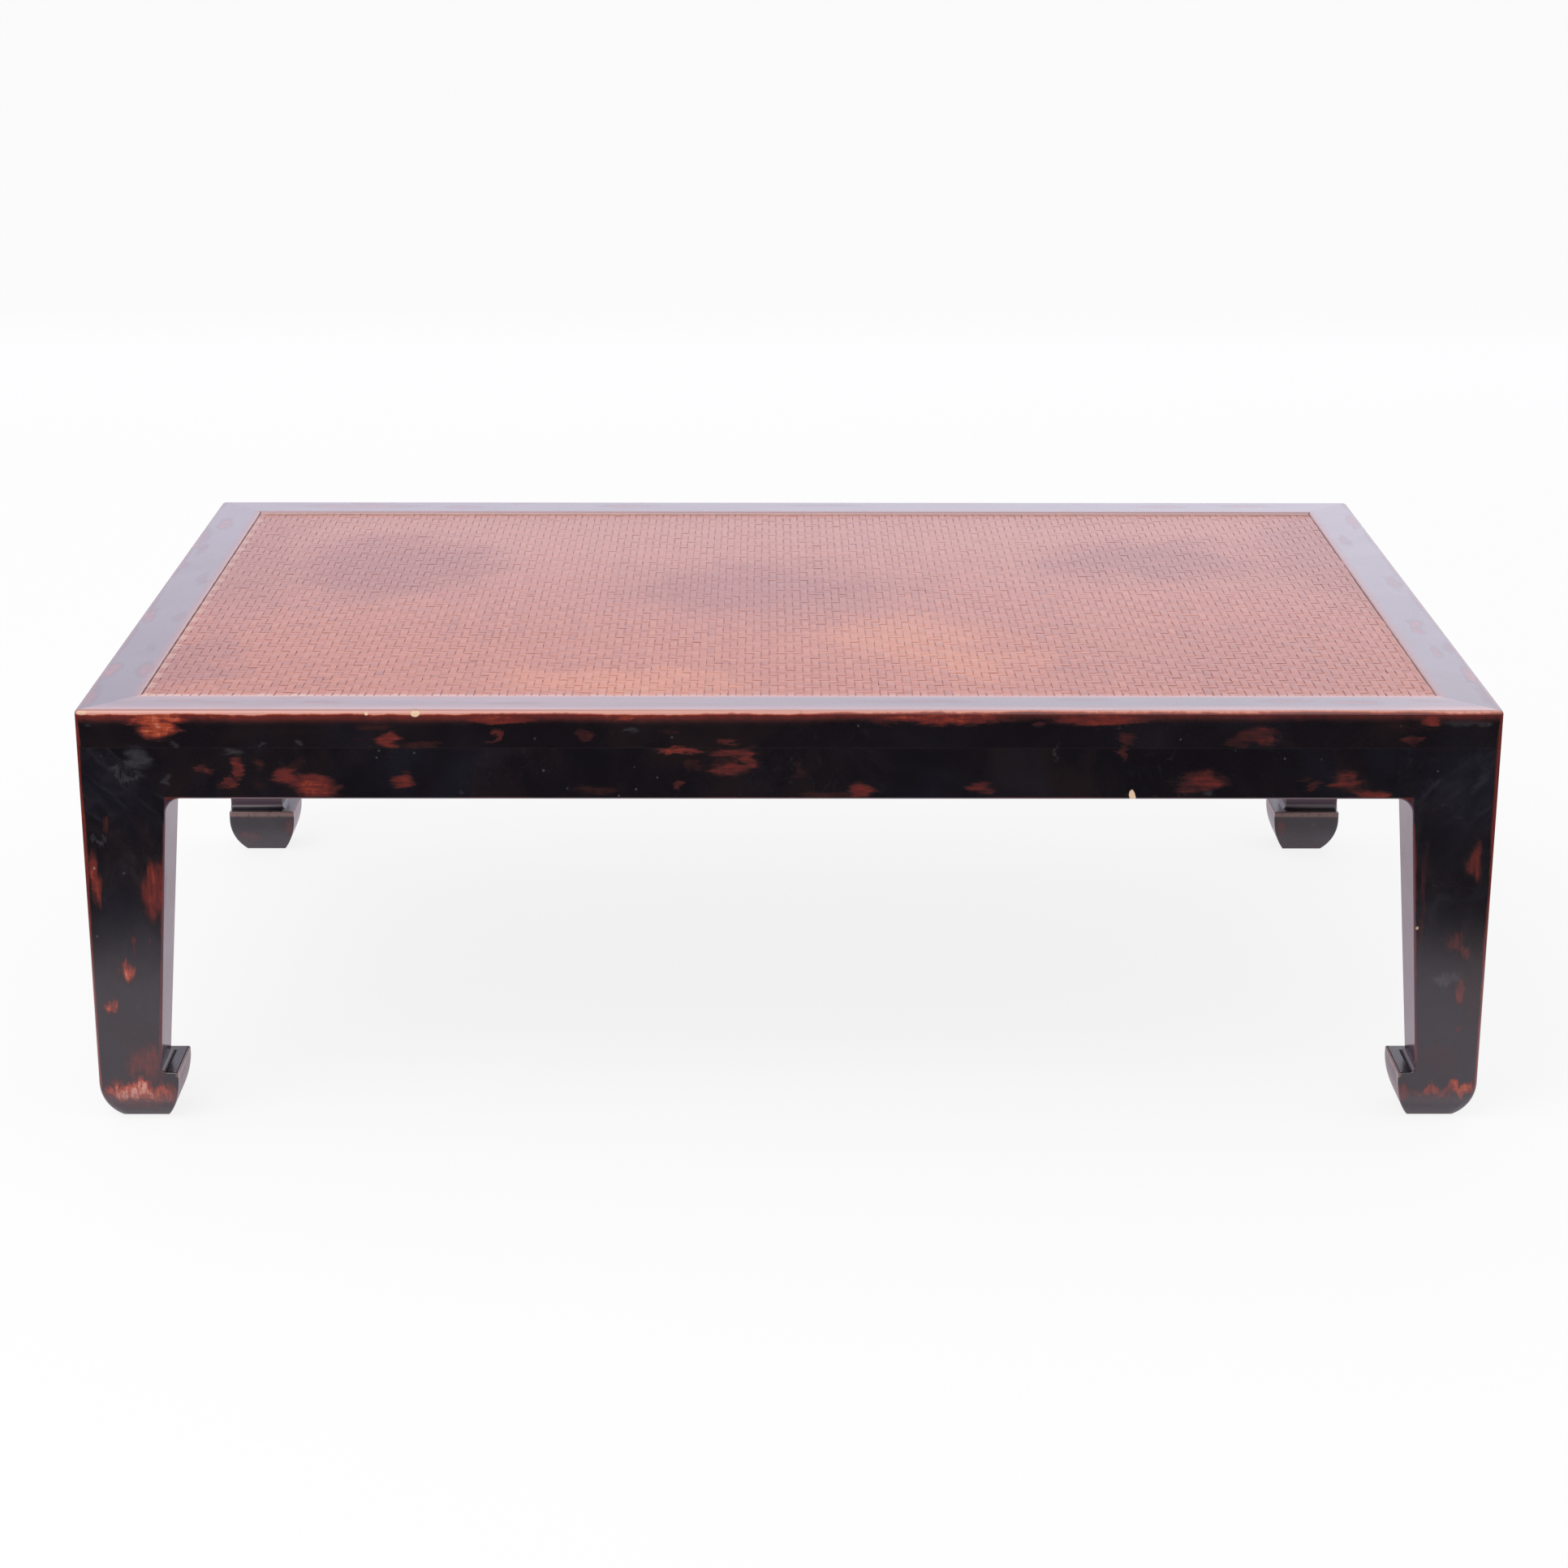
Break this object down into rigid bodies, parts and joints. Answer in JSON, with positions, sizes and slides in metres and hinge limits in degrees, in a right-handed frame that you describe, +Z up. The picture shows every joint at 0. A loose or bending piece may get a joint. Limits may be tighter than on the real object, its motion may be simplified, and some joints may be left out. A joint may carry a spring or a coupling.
{
  "type": "kang table",
  "caption": "Low flush-sided table with a mitred frame round a recessed woven mat, flush aprons and tapering legs on inward-turned hoof feet.",
  "frame": {"origin": "middle of the footprint, on the ground under the feet", "axes": "+X along the table's length, +Y to the back, +Z up; the front long side faces -Y"},
  "size_m": [1.2, 0.786, 0.374],
  "materials": {
    "lacquered_wood": "black lacquer, satin, worn through to a red undercoat",
    "bare_wood": "dark stained, unpolished",
    "woven_cane": "woven split cane, oiled red-brown"
  },
  "bodies": {
    "root": {"front_long_rail": "lacquered_wood", "back_long_rail": "lacquered_wood", "left_end_rail": "lacquered_wood", "right_end_rail": "lacquered_wood", "front_apron": "lacquered_wood", "back_apron": "lacquered_wood", "left_apron": "lacquered_wood", "right_apron": "lacquered_wood", "leg_front_left": "lacquered_wood", "leg_front_right": "lacquered_wood", "leg_back_left": "lacquered_wood", "leg_back_right": "lacquered_wood", "panel_board_1": "bare_wood", "panel_board_2": "bare_wood", "panel_board_3": "bare_wood", "panel_board_4": "bare_wood", "batten_left": "bare_wood", "batten_middle": "bare_wood", "batten_right": "bare_wood", "frame_keys": "bare_wood", "woven_mat": "woven_cane"}
  },
  "joints": []
}
